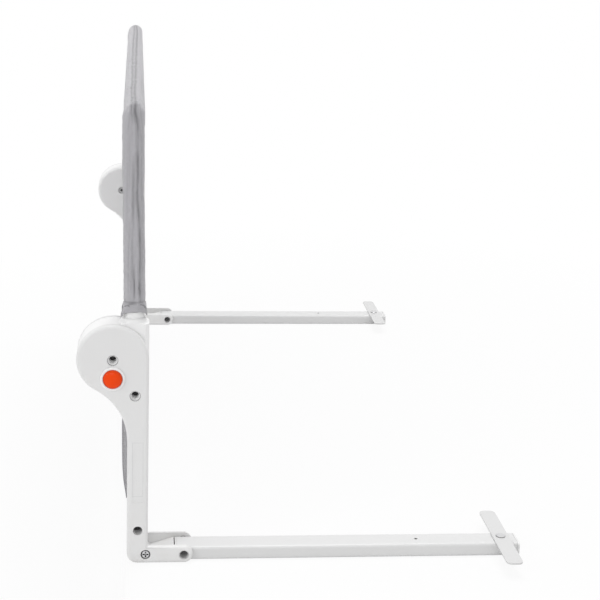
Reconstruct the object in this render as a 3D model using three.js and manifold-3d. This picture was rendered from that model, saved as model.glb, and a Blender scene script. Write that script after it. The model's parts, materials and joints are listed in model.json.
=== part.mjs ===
// A folding bed guard rail, in millimetres. X points from the guard in over the bed, Y along it and Z up.
// Two moulded ends stand on the bed base. Each has a leg under the mattress and a hinge with a button.
// A padded frame of tube swings outwards and down on the two hinges.
import * as THREE from "three";
import { mergeVertices } from "three/addons/utils/BufferGeometryUtils.js";
import Module from "manifold-3d";

const wasm = await Module();
wasm.setup();

// Overall sizes
const guardLength = 1000; // outer face to outer face of the two ends
const guardTop = 553; // top of the padded cover above the bed base
const endDepth = 45; // one end, along the guard

// Fits
const fitGap = 0.3; // between pieces that touch
const turnGap = 0.4; // beside a face that turns
const sleeveGap = 0.6; // between a tube and the fabric round it
const overrun = 2; // how far a cut runs past its face

// Post and foot of an end
const postWidth = 25;
const edgeRound = 3.6;
const footRound = 12;
const armTop = 21.2; // foot's arm, above the bed base
const armWall = 6;
const earRadius = 10.8; // round end of the arm's walls, about the leg's pivot
const panelLow = 79; // sunk panel on the post's outer face
const panelHigh = 145;
const panelLeft = 5.7;
const panelRight = 6.5;
const panelDepth = 0.5;

// Hinge housing
const discRadius = 42;
const pivotHeight = 256;
const neckRound = 72; // hollow curve from the disc into the post
const cheekWall = 8;
const discGap = 0.8; // round the moving disc
const hubRadius = 8;
const buttonDrop = 22; // button's centre below the pivot

// Screws through the housing
const recessRadius = 6.6; // step round a screw's mouth
const recessStep = 1.2;
const funnelRadius = 6.3;
const funnelDepth = 4.2;
const headRadius = 3.9;
const headHeight = 4;
const headSeat = 18; // depth of the shoulder that the head pulls on
const shankRadius = 2.2;
const nutRadius = 4.4;
const nutHeight = 3.2;
const nutRecessRadius = 6.1;
const nutRecessDepth = 4.3;
const housingScrewAside = 26.1; // from the pivot, towards the bed
const housingScrewDrop = 43.4; // below the pivot
const footScrewX = 0.5;
const footScrewZ = 42.5;
const footScrewBore = 5.75;
const footScrewHeadRadius = 4.6;
const footScrewSeat = 17;
const screwTip = 7; // from a screw's tip to the inner face
const elbowScrewX = 10;
const elbowScrewZ = 11.5;
const elbowHeadRadius = 5.4;
const elbowHeadHeight = 2.2;
const elbowRecess = 3;
const elbowRecessRadius = 6.1;
const elbowScrewLength = 16;
const crossWidth = 1.9;
const crossReach = 7.2;
const crossDepth = 1.5;

// Steel tube inside the post
const postTubeWidth = 18;
const postTubeInset = 4.5; // from each face of the post
const postTubeWall = 1.5;
const postTubeLow = 48;
const postTubeDrop = 53; // tube's top below the pivot

// Block in the foot's arm
const blockTail = 6; // into the foot, past the post's centre
const blockFloor = 3;
const blockTailTop = 20;
const rampLow = 7.5;
const rampHigh = 16;
const rampFillet = 4;

// Leg under the mattress
const legPivotX = 56;
const legPivotZ = 10.6;
const legGap = 1; // beside the leg, between the arm's walls
const legHeight = 17.4;
const legWall = 1.2;
const legRound = 4;
const legStub = 8.8; // tube behind its pivot
const legEnd = 466;
const plugFlange = 1.3;
const capFlange = 2.5;
const capDepth = 12;
const sleeveRadius = 5.7;
const sleeveWall = 0.6;
const sleeveInset = 0.5;
const legHoleX = 342;
const legHoleRadius = 2.2;

// Anchor plate across the leg
const plateX = 448;
const plateWidth = 20;
const plateLength = 146;
const plateThickness = 2;
const plateRound = 6.5;
const rivetRadius = 2.4;
const rivetHeadRadius = 6;
const rivetHeadHeight = 1;
const rivetTailRadius = 4.2;
const rivetTailHeight = 2.4;

// Button and lock
const ringRadius = 14.3;
const ringRise = 2.5;
const ringSpigot = 13.6;
const ringSpigotDepth = 1.2;
const ringRound = 0.9;
const buttonRadius = 11.4;
const buttonRise = 4.8;
const buttonRound = 2.6;
const buttonDome = 1.2;
const buttonFlange = 13.2;
const buttonFlangeHeight = 0.8;
const buttonHollow = 9.6;
const buttonHollowTop = 2.2; // hollow's roof, outside the housing's face
const buttonBoss = 5;
const buttonFloor = 6.6; // floor of the button's well
const pinRadius = 3;
const pinInset = 1.8; // pin's outer end, outside the housing's face
const detentDepth = 5;
const springWire = 0.45;
const springWide = 8.6;
const springNarrow = 6.4;
const springTurns = 4;

// Frame of the guard
const frameTube = 9.5; // radius
const frameWall = 1.2;
const frameX = -5; // the frame's middle plane, from the post's centre
const padding = 3.2; // cover outside the tube
const collarRadius = 14.5;
const collarRise = 47; // collar's rim above the pivot
const collarRound = 1.4;
const collarBlend = 5; // hollow curve between collar and disc
const collarInset = 0.1; // collar's flat sides, inside the disc's faces
const lipRadius = 11.8; // collar's thin rim, inside the hem
const lipRise = 7.4; // above the collar's shoulder
const socketRise = 10; // socket's floor above the pivot
const cornerRadius = 10.5;
const cornerReach = 12;
const spigotLength = 20;
const crossTube = 8; // radius of the lower cross tube
const crossRise = 15.6; // its middle above the cover's lower edge
const crossPlugLength = 20;
const crossScrewHead = 4;
const crossScrewHeadHeight = 1.4;
const crossScrewShank = 2;
const crossScrewReach = 14; // past the upright, into the plug

// Fabric
const coverRound = 12; // outer corner, seen from the side
const coverSoft = 8.5; // rounding of the padded edge
const hemHeight = 18;
const hemFlare = 2;
const hemGap = 0.6; // above the collar
const windowClear = 4.6; // mesh window above the cross tube
const meshThickness = 1.6;
const rodRadius = 5; // lower rod that holds the skirt
const rodHeight = 64;
const rodSeat = 3;
const skirtThickness = 1.6;
const skirtSleeve = 7;
const skirtDrop = 8; // skirt's top below the collar's rim
const skirtGap = 1.2; // to the inner faces of the ends

// Counts
const roundSteps = 16;
const ballSteps = 12;
const discSteps = 36;
const buttonSteps = 24;
const neckSteps = 8;
const cornerSteps = 4;
const bevelSteps = 3;
const nutSides = 6;

// Derived places
const halfPost = postWidth / 2;
const pivotX = halfPost - discRadius;
const housingScrewX = pivotX + housingScrewAside;
const housingScrewZ = pivotHeight - housingScrewDrop;
const postTubeHigh = pivotHeight - postTubeDrop;
const middle = endDepth / 2;
const innerCheek = endDepth - cheekWall;
const postTubeDepth = endDepth - 2 * postTubeInset;
const legWidth = endDepth - 2 * (armWall + legGap);
const socketFloor = pivotHeight + socketRise;
const coverHalf = frameTube + padding;
const topTubeZ = guardTop - coverHalf;
const collarTop = pivotHeight + collarRise;
const lipTop = collarTop + lipRise;
const coverBottom = collarTop + hemGap;
const crossHeight = coverBottom + crossRise;
const windowLow = crossHeight + crossTube + windowClear;
const windowHigh = topTubeZ - coverHalf;
const frameHalf = guardLength / 2 - middle; // from the middle of the guard to an upright's axis
const legBack = legPivotX - legStub;
const plugDepth = legStub - sleeveRadius - turnGap;
const stubReach = legStub + fitGap + plugFlange; // plug's face behind the leg's pivot
const legSwing = Math.hypot(stubReach, legHeight - legPivotZ) + turnGap; // its corner's way round the pivot
const reachLeft = pivotX - discRadius;
const reachRight = legEnd + fitGap + capFlange;

// A closed geometry as a solid that can be joined and cut.
function solid(geometry) {
  const plain = geometry.index ? geometry.toNonIndexed() : geometry.clone();
  plain.deleteAttribute("normal");
  plain.deleteAttribute("uv");
  const merged = mergeVertices(plain);
  return new wasm.Manifold(
    new wasm.Mesh({
      numProp: 3,
      vertProperties: merged.attributes.position.array,
      triVerts: new Uint32Array(merged.index.array),
    }),
  );
}

// A cut or joined solid as a geometry again.
function geometryOf(shape) {
  const mesh = shape.getMesh();
  const geometry = new THREE.BufferGeometry();
  const places = new Float32Array(mesh.vertProperties);
  geometry.setAttribute("position", new THREE.BufferAttribute(places, mesh.numProp));
  geometry.setIndex(new THREE.BufferAttribute(new Uint32Array(mesh.triVerts), 1));
  geometry.computeVertexNormals();
  return geometry;
}

// A block between two corners.
function block(x0, x1, y0, y1, z0, z1) {
  const box = new THREE.BoxGeometry(x1 - x0, y1 - y0, z1 - z0);
  return solid(box.translate((x0 + x1) / 2, (y0 + y1) / 2, (z0 + z1) / 2));
}

// A round bar or cone along Y, from y0 to y1, with a radius at each end.
function barY(x, z, radius, y0, y1, endRadius = radius, steps = roundSteps) {
  const bar = new THREE.CylinderGeometry(endRadius, radius, y1 - y0, steps);
  return solid(bar.translate(x, (y0 + y1) / 2, z));
}

// A round bar along Z.
function barZ(x, y, radius, z0, z1, steps = roundSteps) {
  const bar = new THREE.CylinderGeometry(radius, radius, z1 - z0, steps).rotateX(Math.PI / 2);
  return solid(bar.translate(x, y, (z0 + z1) / 2));
}

// An outline of X and Z, pushed along Y from y0 to y1, with its edges rounded by a bevel where asked.
function slab(points, y0, y1, round = 0) {
  const settings = { depth: y1 - y0 - 2 * round, bevelEnabled: round > 0, bevelSegments: bevelSteps };
  Object.assign(settings, { bevelSize: round, bevelThickness: round, bevelOffset: -round });
  const geometry = new THREE.ExtrudeGeometry(new THREE.Shape(points), settings);
  return solid(geometry.rotateX(Math.PI / 2).translate(0, y1 - round, 0));
}

// Points on an arc, both ends included.
function arc(x, y, radius, from, to, steps) {
  return Array.from({ length: steps + 1 }, (_, i) => {
    const angle = from + ((to - from) * i) / steps;
    return new THREE.Vector2(x + radius * Math.cos(angle), y + radius * Math.sin(angle));
  });
}

// A rectangle with round corners, as points.
function roundedBox(x0, x1, y0, y1, radius) {
  const quarter = Math.PI / 2;
  const corners = [[x1 - radius, y0 + radius, -quarter], [x1 - radius, y1 - radius, 0]];
  corners.push([x0 + radius, y1 - radius, quarter], [x0 + radius, y0 + radius, 2 * quarter]);
  return corners.flatMap(([x, y, start]) => arc(x, y, radius, start, start + quarter, cornerSteps));
}

// Turns a drawing of Y and Z, pushed along its third axis, so that it is pushed along X.
const unit = [new THREE.Vector3(0, 1, 0), new THREE.Vector3(0, 0, 1), new THREE.Vector3(1, 0, 0)];
const alongX = new THREE.Matrix4().makeBasis(...unit);

// A section of Y and Z, pushed along X from x0 to x1.
function beam(points, x0, x1) {
  const settings = { depth: x1 - x0, bevelEnabled: false };
  const geometry = new THREE.ExtrudeGeometry(new THREE.Shape(points), settings);
  return solid(geometry.applyMatrix4(alongX).translate(x0, 0, 0));
}

// A profile of radius and height turned round an upright line through x and y.
function turnedZ(x, y, profile, steps = roundSteps) {
  const points = profile.map(([radius, height]) => new THREE.Vector2(radius, height));
  const geometry = new THREE.LatheGeometry(points, steps).rotateX(Math.PI / 2);
  return solid(geometry.translate(x, y, 0));
}

// A profile of radius and depth turned round a line along Y through x and z.
function turnedY(x, z, profile, steps = roundSteps) {
  const points = profile.map(([radius, depth]) => new THREE.Vector2(radius, depth));
  return solid(new THREE.LatheGeometry(points, steps).translate(x, 0, z));
}

// Materials, by finish
const finishes = {
  white: { color: 0xdedede, roughness: 0.42, metalness: 0 },
  orange: { color: 0xef4b1d, roughness: 0.35, metalness: 0 },
  paint: { color: 0xe6e6e6, roughness: 0.38, metalness: 0.1 },
  steel: { color: 0xa8a9ab, roughness: 0.3, metalness: 1 },
  fabric: { color: 0xa2a0a6, roughness: 0.9, metalness: 0 },
  mesh: { color: 0xa9a8ad, roughness: 0.85, metalness: 0 },
};

// One named piece in a group.
function piece(group, name, shape, finish) {
  const geometry = shape.isBufferGeometry ? shape : geometryOf(shape);
  const mesh = new THREE.Mesh(geometry, new THREE.MeshStandardMaterial(finishes[finish]));
  mesh.name = name;
  group.add(mesh);
}

// The outline of an end, seen along the guard: foot and arm, post, hinge disc and the hollow neck.
function endOutline() {
  const quarter = Math.PI / 2;
  const neckX = -halfPost - neckRound;
  const span = discRadius + neckRound;
  const neckZ = pivotHeight - Math.sqrt(span ** 2 - (pivotX - neckX) ** 2);
  const lean = Math.atan2(pivotHeight - neckZ, pivotX - neckX);
  const earLow = -Math.asin(legPivotZ / earRadius);
  const earHigh = Math.PI - Math.asin((armTop - legPivotZ) / earRadius);
  return [
    ...arc(legPivotX, legPivotZ, earRadius, earLow, earHigh, neckSteps),
    new THREE.Vector2(halfPost, armTop),
    ...arc(pivotX, pivotHeight, discRadius, 0, Math.PI + lean, discSteps),
    ...arc(neckX, neckZ, neckRound, lean, 0, neckSteps).slice(1),
    ...arc(footRound - halfPost, footRound, footRound, 2 * quarter, 3 * quarter, cornerSteps),
  ];
}

// A screw's way through both shells: step, funnel, head, shank and nut recess.
function screwWay(x, z) {
  const step = barY(x, z, recessRadius, -overrun, recessStep);
  const funnel = barY(x, z, funnelRadius, 0, funnelDepth, headRadius + fitGap);
  const head = barY(x, z, headRadius + fitGap, 0, headSeat);
  const shank = barY(x, z, shankRadius + fitGap, 0, endDepth);
  const nut = barY(x, z, nutRecessRadius, endDepth - nutRecessDepth, endDepth + overrun);
  return step.add(funnel).add(head).add(shank).add(nut);
}

// Hollow in the neck for the collar, where it stands with the guard folded down.
function foldedSeat() {
  const x = 2 * pivotX - frameX;
  const low = 2 * pivotHeight - collarTop - turnGap;
  const reach = collarRadius + collarBlend + turnGap;
  const between = block(x - reach, x + reach, cheekWall, innerCheek, low, pivotHeight);
  return barZ(x, middle, reach, low, pivotHeight, discSteps).intersect(between);
}

// Both shells of an end, still as one, with everything that is cut out of them.
function housing() {
  const buttonZ = pivotHeight - buttonDrop;
  const tubeHalf = postTubeWidth / 2 + fitGap;
  const tubeOut = middle - postTubeDepth / 2 - fitGap;
  const farWall = endDepth - armWall;
  const armEnd = legPivotX + earRadius + overrun;
  const armHigh = legPivotZ + earRadius + overrun;
  const pocket = discRadius + discGap;
  let body = slab(endOutline(), 0, endDepth, edgeRound);
  body = body.subtract(block(halfPost, armEnd, armWall, farWall, -overrun, armHigh));
  body = body.subtract(barY(pivotX, pivotHeight, pocket, cheekWall, innerCheek, pocket, discSteps));
  body = body.subtract(foldedSeat());
  body = body.add(barY(pivotX, pivotHeight, hubRadius, cheekWall - overrun, innerCheek + overrun));
  body = body.subtract(
    block(-tubeHalf, tubeHalf, tubeOut, endDepth - tubeOut, postTubeLow - fitGap, postTubeHigh + fitGap),
  );
  body = body.subtract(
    block(-blockTail - fitGap, halfPost + overrun, armWall, farWall, blockFloor, blockTailTop + fitGap),
  );
  body = body.subtract(screwWay(pivotX, pivotHeight)).subtract(screwWay(housingScrewX, housingScrewZ));
  const shank = shankRadius + fitGap;
  body = body.subtract(barY(footScrewX, footScrewZ, footScrewBore, -overrun, footScrewSeat));
  body = body.subtract(barY(footScrewX, footScrewZ, shank, 0, endDepth - screwTip + fitGap));
  body = body.subtract(barY(elbowScrewX, elbowScrewZ, elbowRecessRadius, -overrun, elbowRecess));
  body = body.subtract(barY(elbowScrewX, elbowScrewZ, shank, 0, armWall + overrun));
  body = body.subtract(barY(legPivotX, legPivotZ, sleeveRadius + fitGap, -overrun, endDepth + overrun));
  body = body.subtract(barY(pivotX, buttonZ, ringSpigot + fitGap, -overrun, buttonFloor));
  body = body.subtract(barY(pivotX, buttonZ, pinRadius + turnGap, 0, cheekWall + overrun));
  body = body.subtract(barY(0, rodHeight, rodRadius + fitGap, endDepth - rodSeat, endDepth + overrun));
  return body.subtract(block(-panelLeft, panelRight, -overrun, panelDepth, panelLow, panelHigh));
}

// The moving disc with the collar that takes the frame's upright.
function hingeDisc() {
  const face = cheekWall + turnGap;
  const back = innerCheek - turnGap;
  const socket = frameTube + fitGap;
  const foot = collarRadius + collarBlend;
  const blendLow = pivotHeight + Math.sqrt(discRadius ** 2 - (frameX - collarRadius - pivotX) ** 2);
  const blend = arc(foot, blendLow + collarBlend, collarBlend, 1.5 * Math.PI, Math.PI, cornerSteps);
  const profile = [[0, pivotHeight], [foot, pivotHeight], ...blend.map((p) => [p.x, p.y])];
  profile.push([collarRadius, collarTop - collarRound], [collarRadius - collarRound, collarTop]);
  profile.push([lipRadius, collarTop], [lipRadius, lipTop], [0, lipTop]);
  const oval = ((back - face) / 2 - collarInset) / collarRadius;
  const collar = turnedZ(0, 0, profile, discSteps).scale([1, oval, 1]).translate([frameX, middle, 0]);
  const thickness = block(reachLeft, halfPost, face, back, pivotHeight, lipTop + overrun);
  let disc = barY(pivotX, pivotHeight, discRadius, face, back, discRadius, discSteps);
  disc = disc.add(collar.intersect(thickness));
  disc = disc.subtract(barZ(frameX, middle, socket, socketFloor - fitGap, lipTop + overrun));
  disc = disc.subtract(barY(pivotX, pivotHeight, hubRadius + turnGap, 0, endDepth));
  for (const side of [-1, 1]) {
    const z = pivotHeight + side * buttonDrop;
    disc = disc.subtract(barY(pivotX, z, pinRadius + turnGap, 0, face + detentDepth));
  }
  return disc;
}

// A screw along Y: round head, then shank.
function screwY(x, z, head, seat, height, tip) {
  const top = seat - height;
  const shank = [[shankRadius, seat], [shankRadius, tip], [0, tip]];
  return turnedY(x, z, [[0, top], [head, top], [head, seat], ...shank]);
}

// The six-sided nut on a screw's end.
function nut(x, z) {
  const start = endDepth - nutRecessDepth + fitGap;
  const bore = barY(x, z, shankRadius + fitGap, 0, endDepth);
  return barY(x, z, nutRadius, start, start + nutHeight, nutRadius, nutSides).subtract(bore);
}

// Cross-headed screw in the foot.
function elbowScrew() {
  const top = elbowRecess - fitGap - elbowHeadHeight;
  const reach = crossReach / 2;
  const half = crossWidth / 2;
  const head = elbowHeadRadius;
  const rim = head - elbowHeadHeight / 2;
  const seat = top + elbowHeadHeight;
  const profile = [[0, top], [rim, top], [head, top + elbowHeadHeight / 2], [head, seat]];
  profile.push([shankRadius, seat], [shankRadius, elbowScrewLength], [0, elbowScrewLength]);
  let screw = turnedY(elbowScrewX, elbowScrewZ, profile);
  const [x, z] = [elbowScrewX, elbowScrewZ];
  screw = screw.subtract(block(x - reach, x + reach, 0, top + crossDepth, z - half, z + half));
  return screw.subtract(block(x - half, x + half, 0, top + crossDepth, z - reach, z + reach));
}

// Block that closes the foot and fills the arm up to the leg, with its ramp.
function footBlock() {
  const mouth = halfPost + fitGap;
  const low = blockFloor + fitGap;
  const face = legPivotX - legSwing;
  const rise = Math.asin((rampHigh - legPivotZ) / legSwing);
  const points = [
    new THREE.Vector2(-blockTail, low),
    new THREE.Vector2(mouth, low),
    new THREE.Vector2(mouth, fitGap),
    new THREE.Vector2(face, fitGap),
    ...arc(legPivotX, legPivotZ, legSwing, Math.PI, Math.PI - rise, cornerSteps),
    ...arc(mouth + rampFillet, rampLow + rampFillet, rampFillet, 1.5 * Math.PI, Math.PI, cornerSteps),
    new THREE.Vector2(mouth, blockTailTop),
    new THREE.Vector2(-blockTail, blockTailTop),
  ];
  const body = slab(points, armWall + fitGap, endDepth - armWall - fitGap);
  const bore = shankRadius + fitGap;
  return body.subtract(barY(elbowScrewX, elbowScrewZ, bore, 0, elbowScrewLength + fitGap));
}

// Rectangular steel tube inside the post.
function postTube() {
  const [x, y, wall] = [postTubeWidth / 2, postTubeDepth / 2, postTubeWall];
  const outer = block(-x, x, middle - y, middle + y, postTubeLow, postTubeHigh);
  const [low, high] = [postTubeLow - overrun, postTubeHigh + overrun];
  return outer.subtract(block(wall - x, x - wall, middle - y + wall, middle + y - wall, low, high));
}

// White ring that holds the button in its well.
function buttonRing() {
  const inner = buttonRadius + fitGap;
  const top = -ringRise;
  const profile = [[inner, top], [ringRadius - ringRound, top], [ringRadius, top + ringRound]];
  profile.push([ringRadius, -fitGap], [ringSpigot, -fitGap], [ringSpigot, ringSpigotDepth]);
  profile.push([inner, ringSpigotDepth], [inner, top]);
  return turnedY(pivotX, pivotHeight - buttonDrop, profile, buttonSteps);
}

// Push button, hollow under its cap, with a boss that holds the lock pin.
function pushButton() {
  const top = -buttonRise;
  const shoulder = ringSpigotDepth + fitGap;
  const under = shoulder + buttonFlangeHeight;
  const roof = -buttonHollowTop;
  const pinBore = pinRadius + fitGap;
  const pinRoof = -pinInset - fitGap;
  const flat = buttonRadius - buttonRound;
  const rim = arc(flat, top + buttonRound, buttonRound, -Math.PI / 2, 0, cornerSteps);
  const profile = [[0, top - buttonDome], ...rim.map((p) => [p.x, p.y])];
  profile.push([buttonRadius, shoulder], [buttonFlange, shoulder], [buttonFlange, under]);
  profile.push([buttonHollow, under], [buttonHollow, roof], [buttonBoss, roof], [buttonBoss, under]);
  profile.push([pinBore, under], [pinBore, pinRoof], [0, pinRoof]);
  return turnedY(pivotX, pivotHeight - buttonDrop, profile, buttonSteps);
}

// Steel pin behind the button.
function lockPin() {
  return barY(pivotX, pivotHeight - buttonDrop, pinRadius, -pinInset, cheekWall);
}

// Cone-shaped wire spring under the button, wide at the button and narrow on the well's floor.
class ConeSpring extends THREE.Curve {
  getPoint(share) {
    const angle = share * springTurns * 2 * Math.PI;
    const radius = springWide + (springNarrow - springWide) * share;
    const start = -buttonHollowTop + springWire + fitGap;
    const end = buttonFloor - springWire - fitGap;
    const z = pivotHeight - buttonDrop + radius * Math.sin(angle);
    return new THREE.Vector3(pivotX + radius * Math.cos(angle), start + (end - start) * share, z);
  }
}
const springSteps = 10; // a turn
const wireSides = 5;
function buttonSpring() {
  const section = new THREE.Shape(arc(0, 0, springWire, 0, 2 * Math.PI, wireSides).slice(1));
  const steps = springTurns * springSteps;
  return new THREE.ExtrudeGeometry(section, { extrudePath: new ConeSpring(), steps, bevelEnabled: false });
}

// Section of the leg's tube, smaller by an inset all round.
function legSection(inset) {
  const half = legWidth / 2 - inset;
  return roundedBox(middle - half, middle + half, inset, legHeight - inset, legRound - inset);
}

// Leg tube with its pivot holes, the small hole on top and the rivet's hole.
function legTube() {
  const hollow = beam(legSection(legWall), legBack - overrun, legEnd + overrun);
  let tube = beam(legSection(0), legBack, legEnd).subtract(hollow);
  tube = tube.subtract(barY(legPivotX, legPivotZ, sleeveRadius + fitGap, 0, endDepth));
  const roof = legHeight - legWall - overrun;
  tube = tube.subtract(barZ(legHoleX, middle, legHoleRadius, roof, legHeight + overrun));
  return tube.subtract(barZ(plateX, middle, rivetRadius + fitGap, roof, legHeight + overrun));
}

// A plug for the leg's open ends: a flange outside and a short body inside the tube.
function legPlug(mouth, flange, depth, way) {
  const face = mouth + way * fitGap;
  const outer = face + way * flange;
  const inside = mouth - way * depth;
  const lid = beam(legSection(0), Math.min(face, outer), Math.max(face, outer));
  const body = beam(legSection(legWall + fitGap), Math.min(inside, face), Math.max(inside, face));
  return lid.add(body);
}

// Hollow pin on which the leg folds.
function legSleeve() {
  const outer = barY(legPivotX, legPivotZ, sleeveRadius, sleeveInset, endDepth - sleeveInset);
  return outer.subtract(barY(legPivotX, legPivotZ, sleeveRadius - sleeveWall, 0, endDepth));
}

// Flat plate that grips under the mattress.
function anchorPlate() {
  const [x, y] = [plateWidth / 2, plateLength / 2];
  const outline = new THREE.Shape(roundedBox(plateX - x, plateX + x, middle - y, middle + y, plateRound));
  const plate = new THREE.ExtrudeGeometry(outline, { depth: plateThickness, bevelEnabled: false });
  const low = legHeight + fitGap;
  const hole = barZ(plateX, middle, rivetRadius + fitGap, 0, low + plateThickness + overrun);
  return solid(plate.translate(0, 0, low)).subtract(hole);
}

// Rivet through the plate and the leg's roof.
function plateRivet() {
  const roof = legHeight - legWall - fitGap;
  const head = legHeight + fitGap + plateThickness + fitGap;
  const edge = rivetHeadRadius - rivetHeadHeight / 2;
  const top = head + rivetHeadHeight;
  const tail = roof - rivetTailHeight;
  const profile = [[0, tail], [rivetTailRadius, tail], [rivetTailRadius, roof]];
  profile.push([rivetRadius, roof], [rivetRadius, head], [rivetHeadRadius, head]);
  profile.push([rivetHeadRadius, head + rivetHeadHeight / 2], [edge, top], [0, top]);
  return turnedZ(plateX, middle, profile);
}

// Upright of the frame, from its socket to the corner.
function uprightTube() {
  const high = topTubeZ - cornerReach - fitGap;
  const tube = barZ(frameX, middle, frameTube, socketFloor, high);
  const hollow = barZ(frameX, middle, frameTube - frameWall, socketFloor - overrun, high + overrun);
  const screw = barY(frameX, crossHeight, crossScrewShank + fitGap, 0, endDepth);
  return tube.subtract(hollow).subtract(screw);
}

// Moulded corner between an upright and the top tube, with a spigot into each.
function frameCorner() {
  const spigot = frameTube - frameWall - fitGap;
  const ball = new THREE.SphereGeometry(cornerRadius, ballSteps, ballSteps / 2).rotateX(Math.PI / 2);
  const low = topTubeZ - cornerReach;
  const inner = middle + cornerReach;
  return solid(ball)
    .translate([frameX, middle, topTubeZ])
    .add(barZ(frameX, middle, cornerRadius, low, topTubeZ))
    .add(barY(frameX, topTubeZ, cornerRadius, middle, inner))
    .add(barZ(frameX, middle, spigot, low - spigotLength, topTubeZ))
    .add(barY(frameX, topTubeZ, spigot, middle, inner + spigotLength));
}

// Low screw through an upright into the cross tube's plug.
function crossScrew() {
  const seat = middle - frameTube - fitGap;
  const top = seat - crossScrewHeadHeight;
  const tip = middle + frameTube + crossScrewReach;
  const profile = [[0, top], [crossScrewHead, top], [crossScrewHead, seat], [crossScrewShank, seat]];
  return turnedY(frameX, crossHeight, [...profile, [crossScrewShank, tip], [0, tip]]);
}

// Plug inside the cross tube's end.
function crossPlug() {
  const start = middle + frameTube + fitGap;
  const body = barY(frameX, crossHeight, crossTube - frameWall - fitGap, start, start + crossPlugLength);
  const bore = crossScrewShank + fitGap;
  return body.subtract(barY(frameX, crossHeight, bore, 0, start + crossPlugLength + overrun));
}

// A tube along the guard, between two distances from its middle.
function tubeAlong(z, radius, reach) {
  const outer = barY(frameX, z, radius, -reach, reach);
  return outer.subtract(barY(frameX, z, radius - frameWall, -reach - overrun, reach + overrun));
}

// Padded cover: a soft-edged frame of fabric round the tubes, with a flared hem over each collar.
function cover() {
  const outerY = frameHalf + coverHalf;
  const windowY = frameHalf - coverHalf;
  const quarter = Math.PI / 2;
  const outline = [new THREE.Vector2(-outerY, coverBottom), new THREE.Vector2(outerY, coverBottom)];
  const [cornerY, cornerZ] = [outerY - coverRound, guardTop - coverRound];
  outline.push(...arc(cornerY, cornerZ, coverRound, 0, quarter, cornerSteps));
  outline.push(...arc(-cornerY, cornerZ, coverRound, quarter, 2 * quarter, cornerSteps));
  const shape = new THREE.Shape(outline);
  shape.holes.push(new THREE.Path(roundedBox(-windowY, windowY, windowLow, windowHigh, coverSoft)));
  const settings = { depth: 2 * (coverHalf - coverSoft), bevelSegments: bevelSteps };
  Object.assign(settings, { bevelSize: coverSoft, bevelThickness: coverSoft, bevelOffset: -coverSoft });
  const padded = new THREE.ExtrudeGeometry(shape, settings).applyMatrix4(alongX);
  let fabric = solid(padded.translate(frameX - coverHalf + coverSoft, 0, 0));
  const hollow = frameTube + sleeveGap;
  const corner = cornerRadius + sleeveGap;
  const heel = coverBottom - overrun;
  for (const side of [-1, 1]) {
    const y = side * frameHalf;
    const wide = coverHalf + hemFlare;
    const hemTop = coverBottom + hemHeight;
    const hem = [[0, coverBottom], [wide, coverBottom], [coverHalf, hemTop], [0, hemTop]];
    fabric = fabric.add(turnedZ(frameX, y, hem));
    fabric = fabric.subtract(barZ(frameX, y, hollow, heel, topTubeZ));
    fabric = fabric.subtract(barZ(frameX, y, lipRadius + sleeveGap, heel, lipTop + sleeveGap));
    fabric = fabric.subtract(barZ(frameX, y, corner, topTubeZ - cornerReach - sleeveGap, topTubeZ));
    const ball = new THREE.SphereGeometry(corner, ballSteps, ballSteps / 2);
    fabric = fabric.subtract(solid(ball.translate(frameX, y, topTubeZ)));
    const inward = [y, y - side * (cornerReach + sleeveGap)].sort((a, b) => a - b);
    fabric = fabric.subtract(barY(frameX, topTubeZ, corner, ...inward));
    const headTop = frameTube + 2 * fitGap + crossScrewHeadHeight;
    const pocket = [y, y + side * headTop].sort((a, b) => a - b);
    fabric = fabric.subtract(barY(frameX, crossHeight, crossScrewHead + sleeveGap, ...pocket));
  }
  fabric = fabric.subtract(barY(frameX, topTubeZ, hollow, -frameHalf, frameHalf));
  return fabric.subtract(barY(frameX, crossHeight, crossTube + sleeveGap, -frameHalf, frameHalf));
}

// Breathable mesh in the cover's window.
function meshPanel() {
  const y = frameHalf - coverHalf - fitGap;
  const outline = roundedBox(-y, y, windowLow + fitGap, windowHigh - fitGap, coverSoft);
  return beam(outline, frameX - meshThickness / 2, frameX + meshThickness / 2);
}

// Fabric skirt below the guard: a sleeve on the lower rod and a sheet that bulges outwards on its way up.
// Shares of half a post's width outwards, and of the way from the rod up to the skirt's top.
const skirtOutShares = [0.32, 0.6, 0.86, 1.06, 1.2, 1.31, 1.39, 1.42, 1.43, 1.3, 1.02, 0.76, 0.62];
const skirtUpShares = [-0.0234, -0.028, -0.019, 0.012, 0.052, 0.095, 0.15, 0.26, 0.4, 0.57, 0.74, 0.88, 1];
function skirt() {
  const reach = guardLength / 2 - endDepth - skirtGap;
  const rise = collarTop - skirtDrop - rodHeight;
  const line = skirtOutShares.map((out, i) => [-out * halfPost, rodHeight + skirtUpShares[i] * rise]);
  const curve = new THREE.CatmullRomCurve3(line.map(([x, z]) => new THREE.Vector3(x, z, 0)));
  const places = curve.getPoints(2 * line.length);
  const half = skirtThickness / 2;
  const edge = (side) =>
    places.map((place, i) => {
      const tangent = curve.getTangent(i / (places.length - 1));
      return new THREE.Vector2(place.x + side * half * tangent.y, place.y - side * half * tangent.x);
    });
  const sheet = slab([...edge(1), ...edge(-1).reverse()], -reach, reach);
  const sleeve = barY(0, rodHeight, skirtSleeve, -reach, reach);
  const rod = barY(0, rodHeight, rodRadius + fitGap, -reach - overrun, reach + overrun);
  return sheet.add(sleeve).subtract(rod);
}

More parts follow.
